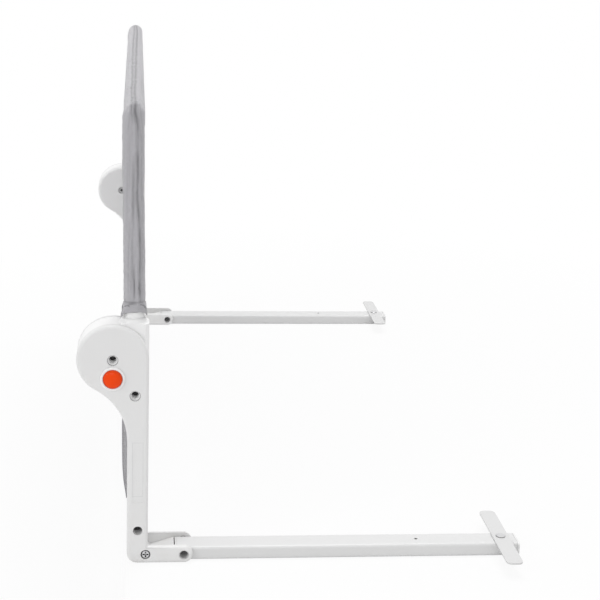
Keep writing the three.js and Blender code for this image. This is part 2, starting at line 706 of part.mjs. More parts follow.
// One end, with Y measured inwards from its outer face, so the other end is its mirror image.
function end(side) {
  const group = new THREE.Group();
  const add = (name, shape, finish) => piece(group, `${side}_${name}`, shape, finish);
  const shells = housing();
  const far = guardLength;
  const half = fitGap / 2;
  const cut = (y0, y1) => block(-far, far, y0, y1, -far, far);
  const seat = headSeat - fitGap;
  const tip = endDepth - fitGap;
  const [screwX, screwZ] = [housingScrewX, housingScrewZ];
  const footTip = endDepth - screwTip;
  const footHead = footScrewHeadRadius;
  add("outer_shell", shells.intersect(cut(-far, middle - half)), "white");
  add("inner_shell", shells.intersect(cut(middle + half, far)), "white");
  add("post_tube", postTube(), "steel");
  add("foot_block", footBlock(), "white");
  add("pivot_screw", screwY(pivotX, pivotHeight, headRadius, seat, headHeight, tip), "steel");
  add("pivot_nut", nut(pivotX, pivotHeight), "steel");
  add("housing_screw", screwY(screwX, screwZ, headRadius, seat, headHeight, tip), "steel");
  add("housing_nut", nut(screwX, screwZ), "steel");
  const footSeat = footScrewSeat - fitGap;
  add("foot_screw", screwY(footScrewX, footScrewZ, footHead, footSeat, headHeight, footTip), "steel");
  add("elbow_screw", elbowScrew(), "steel");
  add("leg_sleeve", legSleeve(), "paint");
  add("button_ring", buttonRing(), "white");
  add("button_spring", buttonSpring(), "steel");
  add("button", pushButton(), "orange");
  add("lock_pin", lockPin(), "steel");
  add("hinge_disc", hingeDisc(), "white");
  add("upright_tube", uprightTube(), "paint");
  add("frame_corner", frameCorner(), "white");
  add("cross_plug", crossPlug(), "white");
  add("cross_screw", crossScrew(), "steel");
  add("leg_tube", legTube(), "paint");
  add("leg_plug", legPlug(legBack, plugFlange, plugDepth, -1), "white");
  add("leg_cap", legPlug(legEnd, capFlange, capDepth, 1), "white");
  add("anchor_plate", anchorPlate(), "paint");
  add("plate_rivet", plateRivet(), "steel");
  const way = side === "left" ? -1 : 1;
  group.position.y = (way * guardLength) / 2;
  group.scale.y = -way;
  return group;
}

// The whole guard. Its origin is the middle of its box, on the ground.
const guard = new THREE.Group();
guard.add(end("left"), end("right"));
piece(guard, "top_tube", tubeAlong(topTubeZ, frameTube, frameHalf - cornerReach - fitGap), "paint");
piece(guard, "cross_tube", tubeAlong(crossHeight, crossTube, frameHalf - frameTube - fitGap), "paint");
piece(guard, "cover", cover(), "fabric");
piece(guard, "mesh_panel", meshPanel(), "mesh");
const rodReach = guardLength / 2 - endDepth + rodSeat - fitGap;
piece(guard, "skirt_rod", barY(0, rodHeight, rodRadius, -rodReach, rodReach), "steel");
piece(guard, "skirt", skirt(), "fabric");
guard.position.x = -(reachLeft + reachRight) / 2;

export default guard;
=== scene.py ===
# %% [markdown]
# # A folding bed guard rail
#
# This lesson dresses the engineering model of a bed guard: two moulded ends that stand on the bed
# base, a leg from each that lies under the mattress, and a padded frame that swings outwards on two
# hinges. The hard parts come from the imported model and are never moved. Blender adds what CAD
# leaves plain: fabric, stitching, mesh, finishes, light.

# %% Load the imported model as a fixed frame
import json
import math

import bpy
import numpy as np
from mathutils import Matrix, Vector


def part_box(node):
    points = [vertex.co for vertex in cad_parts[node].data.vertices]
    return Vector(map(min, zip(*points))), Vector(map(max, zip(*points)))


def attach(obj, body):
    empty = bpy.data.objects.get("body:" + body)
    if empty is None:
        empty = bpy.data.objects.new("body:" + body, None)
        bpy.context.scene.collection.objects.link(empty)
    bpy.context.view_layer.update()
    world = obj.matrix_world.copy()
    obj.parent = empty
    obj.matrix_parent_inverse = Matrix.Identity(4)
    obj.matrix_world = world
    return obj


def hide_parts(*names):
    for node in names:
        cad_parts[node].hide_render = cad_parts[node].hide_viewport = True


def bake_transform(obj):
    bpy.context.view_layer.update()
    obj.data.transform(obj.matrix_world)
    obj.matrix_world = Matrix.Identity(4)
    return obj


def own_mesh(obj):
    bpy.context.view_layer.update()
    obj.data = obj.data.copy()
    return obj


for default in ("Cube", "Light", "Camera"):
    if default in bpy.data.objects:
        bpy.data.objects.remove(bpy.data.objects[default])
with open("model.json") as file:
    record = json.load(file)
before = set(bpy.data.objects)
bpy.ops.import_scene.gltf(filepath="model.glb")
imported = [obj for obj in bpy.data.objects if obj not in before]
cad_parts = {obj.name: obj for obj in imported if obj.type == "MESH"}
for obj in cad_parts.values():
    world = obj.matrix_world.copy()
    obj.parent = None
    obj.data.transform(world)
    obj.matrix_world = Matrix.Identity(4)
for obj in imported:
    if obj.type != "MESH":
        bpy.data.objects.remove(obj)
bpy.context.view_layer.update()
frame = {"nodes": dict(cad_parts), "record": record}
nodes = frame["nodes"]
MM = 0.001
TURN = 2 * math.pi


X, Y, Z = range(3)


def rounded(box):
    return [[round(v, 4) for v in corner] for corner in box]


def middle(node, axis):
    """The middle of a node's box along one axis."""
    low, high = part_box(node)
    return (low[axis] + high[axis]) / 2


def half(node, axis):
    """Half the size of a node's box along one axis."""
    low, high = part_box(node)
    return (high[axis] - low[axis]) / 2


# %% [markdown]
# ## Camera
#
# The photograph looks along the guard from just outside one end, a little from above. A camera like
# that is placed by fitting known points of the object to their places in the picture. The fit gave
# the values below: place, turn sideways, tilt down, roll, and a focal length in pixels of a picture
# 600 wide. The picture is cut from a larger one, so the lens is also shifted a little.

# %% Place the camera
PICTURE = 600
SENSOR = 36.0
EYE = (-0.20305, -2.02463, 0.77603)
YAW, TILT, ROLL = 0.08661, 0.24946, -0.02724
FOCAL = 1388.64
SHIFT = 0.08


def aimed(yaw, tilt, roll):
    """The camera's turn. At zero it looks along +Y; yaw turns it to +X and tilt turns it down."""
    ahead = Vector(
        (math.sin(yaw) * math.cos(tilt), math.cos(yaw) * math.cos(tilt), -math.sin(tilt))
    )
    level = Vector((math.cos(yaw), -math.sin(yaw), 0))
    down = ahead.cross(level)
    right = math.cos(roll) * level + math.sin(roll) * down
    down = -math.sin(roll) * level + math.cos(roll) * down
    return Matrix((right, -down, -ahead)).transposed()


lens = bpy.data.cameras.new("camera")
lens.sensor_width = SENSOR
lens.lens = FOCAL / PICTURE * SENSOR
lens.shift_x = SHIFT
lens.shift_y = -SHIFT
camera = bpy.data.objects.new("camera", lens)
camera.matrix_world = Matrix.Translation(EYE) @ aimed(YAW, TILT, ROLL).to_4x4()
bpy.context.scene.collection.objects.link(camera)
bpy.context.scene.camera = camera
print("lens", round(lens.lens, 1), "mm")

# %% [markdown]
# ## Shader maths as Python
#
# A material is a graph of nodes, and writing one link at a time hides the idea. Here a small class
# wraps a socket, so that `1 - mask` or `ripple * 0.5` adds the Math nodes by itself. Everything else
# comes from one method, which takes a node's type, its settings and its inputs.

# %% Wrap a socket and a material
def adds(operation, swapped=False):
    """A method that adds one Math node for a sum; swapped puts the wire after the other number."""

    def method(self, *others):
        values = (*others, self) if swapped else (self, *others)
        return self.finish.node("Math", {"operation": operation}, dict(enumerate(values)))

    return method


class Wire:
    """An output socket that takes part in Python sums."""

    def __init__(self, finish, socket):
        self.finish, self.socket = finish, socket

    __add__ = adds("ADD")
    __radd__ = adds("ADD", swapped=True)
    __sub__ = adds("SUBTRACT")
    __rsub__ = adds("SUBTRACT", swapped=True)
    __mul__ = adds("MULTIPLY")
    __truediv__ = adds("DIVIDE")
    __gt__ = adds("GREATER_THAN")
    __lt__ = adds("LESS_THAN")
    __abs__ = adds("ABSOLUTE")
    sine = adds("SINE")
    root = adds("SQRT")
    least = adds("MINIMUM")
    most = adds("MAXIMUM")


class Finish:
    """One material (or the world), built from nodes."""

    def __init__(self, name, kind="materials"):
        self.material = getattr(bpy.data, kind).new(name)
        self.material.use_nodes = True
        self.tree = self.material.node_tree
        self.tree.nodes.clear()

    def node(self, kind, settings=None, inputs=None, output=0):
        """A new node, with its settings, and with a number or a wire at each input."""
        made = self.tree.nodes.new("ShaderNode" + kind)
        for key, value in (settings or {}).items():
            setattr(made, key, value)
        for key, value in (inputs or {}).items():
            if isinstance(value, Wire):
                self.tree.links.new(value.socket, made.inputs[key])
            else:
                made.inputs[key].default_value = value
        return Wire(self, made.outputs[output]) if len(made.outputs) else made

    def place(self):
        """Object coordinates: the part's own frame, in metres."""
        return self.node("TexCoord", output="Object")

    def split(self, vector):
        """The three numbers of a vector."""
        parts = self.node("SeparateXYZ", inputs={0: vector})
        outputs = parts.socket.node.outputs
        return [Wire(self, outputs[i]) for i in range(3)]

    def noise(self, scale, detail):
        """Noise between 0 and 1, with about so many grains to the metre and so many finer layers."""
        inputs = {"Vector": self.place(), "Scale": scale, "Detail": detail}
        return self.node("TexNoise", inputs=inputs, output="Fac")

    def open_sky(self, distance):
        """1 in the open, and 0 where other surfaces close in within so many metres."""
        return self.node("AmbientOcclusion", {"samples": 8}, {"Distance": distance}, output="AO")

    def mix(self, share, one, two):
        """A colour between two colours."""
        return self.node("Mix", {"data_type": "RGBA"}, {0: share, 6: one, 7: two}, output=2)

    def bump(self, height, depth, normal=None):
        """A normal from a height between 0 and 1 that stands for depth in metres."""
        inputs = {"Height": height, "Strength": 1.0, "Distance": depth}
        if normal:
            inputs["Normal"] = normal
        return self.node("Bump", inputs=inputs)

    def surface(self, **sockets):
        """The main shader, with its sockets by name, an underscore for each space."""
        named = {key.replace("_", " "): value for key, value in sockets.items()}
        shader = self.node("BsdfPrincipled", inputs=named)
        self.node("OutputMaterial", inputs={"Surface": shader})
        return self.material


def grey(level, tint=(1.0, 1.0, 1.0)):
    return (level * tint[0], level * tint[1], level * tint[2], 1.0)


print("shader helpers ready")

# %% [markdown]
# ## Marks on the end faces
#
# A few shapes on the end faces are too shallow to be worth a solid: the fine outline of a panel on
# the post, a flat ring round each screw's recess, and a slight dome on the button. Each is a mask in
# the part's own coordinates, measured from the imported pieces. The panel's outline and the ring's
# edge are painted shade, dark lines where a groove would lie in shadow, and the flat ring is a
# painted highlight, lighter than the plastic round it.

# %% Mask the panel, the screw rings and the button's dome
POST_X = middle("left_post_tube", X)
PANEL_Z, PANEL_WIDE, PANEL_HIGH = 0.1205, 0.0062, 0.034  # middle height, half width, half height
PANEL_LINE = 0.00035
END_FACE, HOUSING_Y = 0.498, 0.485  # how far out the post's face and the screws' faces start
SCREWS = [(middle(node, X), middle(node, Z)) for node in ("left_pivot_screw", "left_housing_screw")]
SCREW_RING, RING_LINE = 0.0061, 0.0004
BUTTON_X, BUTTON_Z = middle("left_button", X), middle("left_button", Z)
SEEN_SHARE = 0.864  # of the button's radius, inside its hidden flange
BUTTON_R = half("left_button", X) * SEEN_SHARE


def painted_panel_line(finish):
    """1 on the thin outline of the moulded panel on each post's end face, which is painted with shade."""
    x, y, z = finish.split(finish.place())
    out = (abs(x - POST_X) - PANEL_WIDE).most(abs(z - PANEL_Z) - PANEL_HIGH)
    return (abs(out) < PANEL_LINE) * (abs(y) > END_FACE)


def painted_screw_rings(finish):
    """Masks for the painted highlight on the flat ring round each screw's recess, and for the painted
    shade of the fine line round that.
    """
    x, y, z = finish.split(finish.place())
    reach = [((x - u) * (x - u) + (z - v) * (z - v)).root() for u, v in SCREWS]
    near = reach[0].least(reach[1])
    end = abs(y) > HOUSING_Y
    return (near < SCREW_RING) * end, (abs(near - SCREW_RING) < RING_LINE) * end


def dome(finish):
    """The height of a shallow dome over each button, between 0 and 1."""
    x, _, z = finish.split(finish.place())
    across, up = (x - BUTTON_X) / BUTTON_R, (z - BUTTON_Z) / BUTTON_R
    return (1 - across * across - up * up).most(0)


print("screws at", rounded(SCREWS))

# %% [markdown]
# ## White moulded plastic
#
# The two ends, the hinge discs, plugs and rings are white plastic with a fine matt grain from the
# tool, as most nursery hardware has. Real mouldings are never one flat value: the grain breaks up
# the gloss, the walls sink by fractions of a millimetre, and handling leaves the lowest edges a
# touch darker. Noise in the part's own coordinates gives all three without any image. The discs and
# the button rings get a lighter copy of the same plastic, painted light that makes up for the shade
# they stand in.

# %% Make the white plastic
WHITE = (1.0, 1.0, 1.0)
GRAIN, SINK, CLOUD = 1400, 14, 55  # noise scales: tool grain, sunken walls, uneven colour
SINK_DEPTH = 0.0006
HANDLED_FADE = 9  # the mark of hands fades out 1/9 m above the floor


def moulded(name, shade, tint, roughness, grain_depth, specular=0.5, marked=False, domed=0.0):
    """Plastic of one shade; marked paints the end faces' lines with shade and the screw rings lighter,
    domed a dome of that height with painted shade at its rim.
    """
    finish = Finish(name)
    grain = finish.noise(GRAIN, 2)
    sink = finish.noise(SINK, 2)
    cloud = finish.noise(CLOUD, 4)
    height = finish.split(finish.place())[2]
    handled = (1 - height * HANDLED_FADE).most(0) * (cloud * 2 - 0.7).most(0).least(1)
    worn = grey(shade * 0.93, (tint[0], tint[1] * 0.985, tint[2] * 0.96))
    colour = finish.mix(handled * 0.7 + cloud * 0.12, grey(shade, tint), worn)
    if marked:
        # painted highlight on the screws' flat rings, painted shade in the panel line and in the rings'
        # edge
        flat, edge = painted_screw_rings(finish)
        colour = finish.mix(flat * 0.9, colour, grey(shade * 1.16))
        colour = finish.mix(painted_panel_line(finish) * 0.5, colour, grey(shade * 0.8))
        colour = finish.mix(edge * 0.9, colour, grey(shade * 0.45))
    gloss = roughness + (grain - 0.5) * 0.16 + (cloud - 0.5) * 0.08
    relief = finish.bump(grain, grain_depth, finish.bump(sink, SINK_DEPTH))
    if domed:
        crown = dome(finish)
        relief = finish.bump(crown, domed, relief)
        # painted shade: the colour darkens towards the dome's rim, where its rounded edge turns from the
        # light
        painted_rim_shade = (1 - crown * 2.2).most(0)
        colour = finish.mix(painted_rim_shade * 0.55, colour, grey(0.6, tint))
    return finish.surface(
        Base_Color=colour, Roughness=gloss, Normal=relief, IOR=1.49, Specular_IOR_Level=specular
    )


white_plastic = moulded("white_moulded_plastic", 0.82, WHITE, 0.42, grain_depth=0.00002, marked=True)
# a lighter copy of the white plastic: painted light on the discs and button rings, which lie in shade
brightened_disc_plastic = moulded("white_disc_plastic", 0.94, WHITE, 0.42, grain_depth=0.00002)
print(white_plastic.name, len(white_plastic.node_tree.nodes), "nodes")

# %% [markdown]
# ## Orange button plastic
#
# The button is the only bright colour on the guard, and smoother than the white parts so that it is
# found by eye. The same recipe serves with another colour, less grain, lower roughness and the dome,
# whose rim is painted with shade.

# %% Make the orange plastic
ORANGE = (0.94, 0.066, 0.001)
orange_plastic = moulded(
    "orange_button_plastic", 1.0, ORANGE, 0.18, grain_depth=0.000008, specular=0.16, domed=0.0022
)
print(orange_plastic.name, len(orange_plastic.node_tree.nodes), "nodes")

# %% [markdown]
# ## Powder coat and zinc
#
# Steel tube on furniture is powder coated: a thick paint with a slight orange peel. Screws, rivets
# and springs are zinc plated, which is bright but crossed by fine marks from tumbling, with painted
# shade darkening the metal in every corner. The screws deep in the housing are the black kind. All
# of them differ from plastic mainly in how their gloss varies, so roughness and bump carry the look.
# The slotted plates get a darker copy of the same coat, painted shade that tones down their brightly lit
# tops.

# %% Make the painted and plated steel
PEEL, PEEL_DEPTH = 620, 0.00005
TUMBLED, TUMBLED_DEPTH = 900, 0.00002
CORNER_SHADE_REACH = 0.003  # how far from a corner the painted shade darkens the metal
HOLE_SHADE_REACH = 0.008  # how near a hole's walls stand when painted shade darkens it


def powder_coat(name, shade):
    finish = Finish(name)
    peel = finish.noise(PEEL, 1)
    cloud = finish.noise(30, 3)
    colour = finish.mix(cloud * 0.3, grey(shade), grey(shade * 0.945, (1.0, 1.0, 0.99)))
    relief = finish.bump(peel, PEEL_DEPTH)
    gloss = 0.34 + (peel - 0.5) * 0.1
    return finish.surface(Base_Color=colour, Roughness=gloss, Normal=relief, IOR=1.5)


def plated(name, low, high, gloss):
    """Bare or blackened metal whose shade drifts between low and high, with painted shade in its corners.
    """
    finish = Finish(name)
    marks = finish.noise(TUMBLED, 4)
    bloom = finish.noise(160, 3)
    # painted shade: the metal is darkened towards black where other surfaces close in
    unshaded_share = (finish.open_sky(CORNER_SHADE_REACH) * 1.7 - 0.7).most(0)
    colour = finish.mix(bloom, grey(low), grey(high, (1.0, 1.0, 1.02)))
    colour = finish.mix(unshaded_share, grey(0.02), colour)
    relief = finish.bump(marks, TUMBLED_DEPTH)
    rough = gloss + marks * 0.16
    return finish.surface(Base_Color=colour, Metallic=1.0, Roughness=rough, Normal=relief)


def hollow(name, shade):
    """A plain dull finish with painted shade deep inside a hole."""
    finish = Finish(name)
    # painted shade: the colour falls to a dark grey where the hole's walls close in
    light = finish.open_sky(HOLE_SHADE_REACH)
    stain = finish.noise(300, 3)
    colour = finish.mix(light, grey(0.1), finish.mix(stain, grey(shade * 0.8), grey(shade)))
    rough = 0.6 + stain * 0.1
    return finish.surface(Base_Color=colour, Metallic=0.0, Roughness=rough, Specular_IOR_Level=0.15)


white_paint = powder_coat("white_powder_coat", 0.735)
# painted shade: the same white coat, a touch darker, for the plates' lit tops
shaded_plate_paint = powder_coat("plate_powder_coat", 0.69)
zinc_steel = plated("zinc_plated_steel", 0.58, 0.72, gloss=0.22)
black_steel = plated("black_oxide_steel", 0.06, 0.1, gloss=0.42)
dark_bore = hollow("dark_bore", 0.85)
print(white_paint.name, zinc_steel.name, black_steel.name, dark_bore.name)

# %% [markdown]
# ## Finish the hard parts
#
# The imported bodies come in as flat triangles. They keep their shape, but modifiers may be added:
# vertices are welded, faces are shaded smooth except across sharp edges, and weighted normals keep
# broad faces flat. The smoothing is a small node group, because it has to run after the weld.

# %% Smooth the hard parts and give each its finish
SHARP = math.radians(36)
WELD = 0.00001


def smoothing(limit):
    """A node group that shades faces smooth and edges sharper than limit flat."""
    group = bpy.data.node_groups.new("smooth_by_angle", "GeometryNodeTree")
    group.interface.new_socket("Geometry", in_out="INPUT", socket_type="NodeSocketGeometry")
    group.interface.new_socket("Geometry", in_out="OUTPUT", socket_type="NodeSocketGeometry")
    start, end = group.nodes.new("NodeGroupInput"), group.nodes.new("NodeGroupOutput")
    faces, edges = (group.nodes.new("GeometryNodeSetShadeSmooth") for _ in range(2))
    faces.domain, edges.domain = "FACE", "EDGE"
    faces.inputs["Shade Smooth"].default_value = True
    edges.inputs["Shade Smooth"].default_value = False
    angle = group.nodes.new("GeometryNodeInputMeshEdgeAngle")
    sharp = group.nodes.new("FunctionNodeCompare")
    sharp.data_type, sharp.operation = "FLOAT", "GREATER_THAN"
    sharp.inputs[1].default_value = limit
    for one, other in (
        (angle.outputs["Unsigned Angle"], sharp.inputs[0]),
        (start.outputs[0], faces.inputs["Geometry"]),
        (faces.outputs[0], edges.inputs["Geometry"]),
        (sharp.outputs[0], edges.inputs["Selection"]),
        (edges.outputs[0], end.inputs[0]),
    ):
        group.links.new(one, other)
    return group


smooth_group = smoothing(SHARP)


def soften(obj):
    weld = obj.modifiers.new("weld", "WELD")
    weld.merge_threshold = WELD
    smooth = obj.modifiers.new("smooth", "NODES")
    smooth.node_group = smooth_group
    weighted = obj.modifiers.new("weighted", "WEIGHTED_NORMAL")
    weighted.keep_sharp = True


BY_SLOT = {
    "white_plastic": white_plastic,
    "orange_plastic": orange_plastic,
    "white_paint": white_paint,
    "zinc_steel": zinc_steel,
}
BY_ENDING = {
    ("pivot_screw", "housing_screw", "foot_screw"): black_steel,
    ("leg_sleeve",): dark_bore,
    ("hinge_disc", "button_ring"): brightened_disc_plastic,
    ("anchor_plate",): shaded_plate_paint,
}


def finish_for(row):
    """The finish of a few named pieces, or else that of the piece's slot."""
    special = [finish for endings, finish in BY_ENDING.items() if row["node"].endswith(endings)]
    return special[0] if special else BY_SLOT[row["material_slot"]]


hard_rows = [row for row in frame["record"]["subparts"] if row["material_slot"] in BY_SLOT]
for row in hard_rows:
    part = nodes[row["node"]]
    part.data.materials.clear()
    part.data.materials.append(finish_for(row))
    soften(part)
print(len(hard_rows), "hard parts finished")

# %% [markdown]
# ## Light
#
# The photograph is lit evenly from above and a little from the left, on white. A large soft lamp
# overhead gives the light tops, one from the left opens the shadows, a third lights the end faces,
# and the world fills the rest. The world is pure white only where the camera sees it.

# %% Set the lamps and the world
CENTRE = Vector((0, 0, 0.25))


def lamp(name, place, size, power):
    """A round soft lamp that points at the guard's middle."""
    data = bpy.data.lights.new(name, "AREA")
    data.shape, data.size, data.energy = "DISK", size, power
    obj = bpy.data.objects.new(name, data)
    obj.location = place
    obj.rotation_mode = "QUATERNION"
    obj.rotation_quaternion = (CENTRE - Vector(place)).to_track_quat("-Z", "Y")
    bpy.context.scene.collection.objects.link(obj)


lamp("overhead", (0.2, 0.2, 3.2), size=2.2, power=52)
lamp("left_front", (-4.9, -3.4, 3.0), size=2.0, power=66)
lamp("front", (-0.9, -6.0, 3.2), size=2.4, power=30)


def seen_white(finish):
    """1 where the camera looks, straight, by a mirror or through the mesh, and 0 for falling light."""
    kinds = ("Camera", "Glossy", "Transmission")
    path = [finish.node("LightPath", output=f"Is {kind} Ray") for kind in kinds]
    return path[0].most(path[1]).most(path[2])


room = Finish("white_room", "worlds")
light = room.node("Background", inputs={"Color": grey(1.0), "Strength": 0.60})
white = room.node("Background", inputs={"Color": grey(1.0), "Strength": 1.0})
both = room.node("MixShader", inputs={0: seen_white(room), 1: light, 2: white})
room.node("OutputWorld", inputs={"Surface": both})
bpy.context.scene.world = room.material
bpy.context.scene.view_settings.view_transform = "Standard"
print(len(bpy.data.lights), "lamps")

# %% [markdown]
# ## Floor
#
# The floor is white to the camera, through Light Path, but keeps part of its own shading so that
# the guard's shadow stays. Outside the posts it drops a little, like the edge of the bed base that
# the guard stands on, so that the folded frame has room.

# %% Lay the floor
def floor_finish(near, far):
    """White to the camera: a near share of it by the guard, and all of it far away."""
    finish = Finish("pale_floor")
    x, y, _ = finish.split(finish.place())
    away = ((x * x + y * y) / (far * far)).least(1)
    matt = finish.node("BsdfDiffuse", inputs={"Color": grey(0.82)})
    bright = finish.node("Emission", inputs={"Color": grey(1.0), "Strength": 1.0})
    share = seen_white(finish) * (near + away * (1 - near))
    both = finish.node("MixShader", inputs={0: share, 1: matt, 2: bright})
    finish.node("OutputMaterial", inputs={"Surface": both})
    return finish.material


def mesh_object(name, points, faces):
    mesh = bpy.data.meshes.new(name)
    mesh.from_pydata([tuple(p) for p in points], [], faces)
    mesh.update()
    obj = bpy.data.objects.new(name, mesh)
    bpy.context.scene.collection.objects.link(obj)
    return obj


HOUSING_WALL = 0.0035
FLOOR_REACH, FLOOR_DROP = 6.0, 0.06
foot_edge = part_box("left_post_tube")[0].x - HOUSING_WALL
profile = [
    (-FLOOR_REACH, -FLOOR_DROP),
    (foot_edge - 0.004, -FLOOR_DROP),
    (foot_edge - 0.001, -0.004),
    (foot_edge + 0.003, 0.0),
    (FLOOR_REACH, 0.0),
]
floor_points = [(x, y, z) for y in (-FLOOR_REACH, FLOOR_REACH) for x, z in profile]
count = len(profile)
floor_faces = [(i, i + 1, i + 1 + count, i + count) for i in range(count - 1)]
floor = mesh_object("floor", floor_points, floor_faces)
floor.data.materials.append(floor_finish(near=0.88, far=math.sqrt(1.6)))
print("floor edge at", round(foot_edge, 4))

# %% [markdown]
# ## Grids of cloth
#
# Every soft piece here is a strip or a tube, so each is a grid of points: one way along the piece,
# the other way across or around it. A grid keeps its seams on its own lines, carries true distances
# as UV, and simulates cleanly.

# %% Turn a grid of points into a mesh
def lengths(vectors):
    """The length of each vector, the vectors lying along the last axis."""
    return np.linalg.norm(vectors, axis=-1)


def points_at(x, y, z):
    """Points from three coordinates, each a number or an array that spreads over the others."""
    return np.stack(np.broadcast_arrays(x, y, z), axis=-1)


def at_corners(values, faces_across):
    """The values at each face's four corners, from values[along][across]."""
    here, next_row = values[:-1], values[1:]
    left, right = slice(0, faces_across), slice(1, faces_across + 1)
    return np.stack([here[:, left], here[:, right], next_row[:, right], next_row[:, left]], axis=2)


def grid(name, points, closed=False):
    """A sheet (or, closed, a tube) from points[along][across], with UV in metres."""
    rows, cols = points.shape[:2]
    faces_across = cols if closed else cols - 1
    number = np.arange(rows)[:, None] * cols + np.arange(cols + 1)[None, :] % cols
    faces = at_corners(number, faces_across).reshape(-1, 4).tolist()
    obj = mesh_object(name, points.reshape(-1, 3), faces)
    wrapped = np.concatenate([points, points[:, :1]], axis=1)
    along, across = np.zeros((rows, cols + 1)), np.zeros((rows, cols + 1))
    along[1:] = np.cumsum(lengths(np.diff(wrapped, axis=0)), axis=0)
    across[:, 1:] = np.cumsum(lengths(np.diff(wrapped, axis=1)), axis=1)
    along[:] = along.mean(axis=1, keepdims=True)
    across[:] = across.mean(axis=0, keepdims=True)
    uv = at_corners(np.stack([along, across], axis=2), faces_across)
    obj.data.uv_layers.new(name="cloth").data.foreach_set("uv", uv.ravel())
    obj.data.polygons.foreach_set("use_smooth", [True] * len(faces))
    return obj


def write_painted_shade(obj, values):
    """How much painted shade each point gets, from 0 to 1, darkening the fabric's colour in its creases.
    """
    layer = obj.data.attributes.new("painted_crease_shade", "FLOAT", "POINT")
    layer.data.foreach_set("value", np.clip(values, 0, 1).ravel().astype(np.float32))


def places(obj):
    found = np.zeros(len(obj.data.vertices) * 3)
    obj.data.vertices.foreach_get("co", found)
    return found.reshape(-1, 3)


def apply_modifiers(obj):
    """Turns the modified mesh into the object's own mesh."""
    graph = bpy.context.evaluated_depsgraph_get()
    made = bpy.data.meshes.new_from_object(
        obj.evaluated_get(graph), preserve_all_data_layers=True, depsgraph=graph
    )
    obj.modifiers.clear()
    obj.data = made


print("grid helpers ready")

# %% [markdown]
# ## Springs that can be pressed
#
# Behind each button sits a cone-shaped wire spring. It is wound again here, a round wire along a
# narrowing helix between the ends of the imported one.

# %% Wind the button springs
WIRE, WIDE, NARROW = 0.00045, 0.0086, 0.0064  # radius of the wire, and of the coil at both ends
COILS, STEPS_A_COIL, WIRE_SIDES = 4, 28, 8


def wound(side, way):
    """The spring behind one button, fixed at its inner end; way is the sign of Y at this end."""
    packed = f"{side}_button_spring"
    low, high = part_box(packed)
    outer, inner = (low.y, high.y) if way < 0 else (high.y, low.y)
    share = np.linspace(0, 1, COILS * STEPS_A_COIL)
    turn = share * COILS * TURN
    radius = WIDE + (NARROW - WIDE) * share
    y = outer + (inner - outer) * share - way * WIRE * (1 - 2 * share)
    out = points_at(np.cos(turn), 0.0, np.sin(turn))
    helix = out * radius[:, None] + points_at(middle(packed, X), y, middle(packed, Z))
    section = np.arange(WIRE_SIDES) * TURN / WIRE_SIDES
    outward = np.cos(section)[None, :, None] * out[:, None]
    lengthways = np.sin(section)[None, :, None] * np.array([0, 1, 0])
    wire = helix[:, None] + WIRE * (outward + lengthways)
    coil = grid(f"{side}_button_coil", wire, closed=True)
    coil.data.materials.append(zinc_steel)
    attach(coil, "base")
    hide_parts(f"{side}_button_spring")
    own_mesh(coil)
    return abs(inner - outer)


spring_lengths = [wound("left", -1), wound("right", 1)]
print("springs", [round(length / MM, 2) for length in spring_lengths], "mm long")

# %% [markdown]
# ## Grey woven fabric
#
# The cover is a plain-woven polyester over thin foam. Up close, warp and weft cross every half
# millimetre. The weave is drawn from the UV distances: each thread is a rounded ridge, and in every
# second square the other set lies on top. Larger noise adds the slight unevenness of dyed yarn. A
# little sheen gives the soft light edge of fabric. The creases, which later cells write on the mesh
# as an attribute, are painted darker: painted shade for the light that folded cloth keeps out.

# %% Make the fabric
VIOLET_GREY = (1.0, 0.985, 1.035)
NAP, NAP_DEPTH = 420, 0.0003


def woven(name, shade, tint, pitch, depth):
    """Plain weave whose threads stand pitch apart and depth high."""
    finish = Finish(name)
    along, across, _ = finish.split(finish.node("UVMap", {"uv_map": "cloth"}))
    wave_a = (along * (math.pi / pitch)).sine()
    wave_b = (across * (math.pi / pitch)).sine()
    over = (wave_a * wave_b) > 0
    thread = abs(wave_a) * over + abs(wave_b) * (1 - over)
    yarn = finish.noise(260, 3)
    cloud = finish.noise(18, 3)
    painted_crease_shade = finish.node("Attribute", {"attribute_name": "painted_crease_shade"}, output="Fac")
    dark, light = grey(shade * 0.82, tint), grey(shade * 1.1, tint)
    colour = finish.mix(thread * 0.35 + yarn * 0.4 + cloud * 0.25, dark, light)
    # painted shade in the creases, seams, hem and skirt, read from the mesh's attribute
    colour = finish.mix(painted_crease_shade.most(0).least(1) * 0.8, colour, grey(shade * 0.42, tint))
    rough = 0.82 + (yarn - 0.5) * 0.12
    relief = finish.bump(thread, depth, finish.bump(finish.noise(NAP, 3), NAP_DEPTH))
    return finish.surface(
        Base_Color=colour,
        Roughness=rough,
        Normal=relief,
        Sheen_Weight=0.7,
        Sheen_Roughness=0.35,
        Specular_IOR_Level=0.2,
    )


grey_fabric = woven("grey_woven_fabric", 0.515, VIOLET_GREY, pitch=0.0006, depth=0.00012)
print(grey_fabric.name, len(grey_fabric.node_tree.nodes), "nodes")

# %% [markdown]
# ## The padded cover
#
# The cover is one long padded sleeve: up one post, along the top, and down the other. Sweeping a
# circle round such a tight corner folds it through itself, so each ring is spanned between two
# outlines instead, the outer edge and the window edge. First both outlines are measured from the
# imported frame.

# %% Measure the frame and lay out the two outlines
cover_low, cover_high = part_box("cover")
window_low, window_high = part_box("mesh_panel")
FRAME_X, TOP_Z = middle("top_tube", X), middle("top_tube", Z)
UPRIGHT_Y = -middle("left_upright_tube", Y)
TUBE, ELBOW = half("top_tube", X), half("left_frame_corner", X)
HALF = cover_high.z - TOP_Z
HEM_Z = cover_low.z
ROUND = 0.008
STEPS = {"upright": 58, "corner": 8, "top": 226}


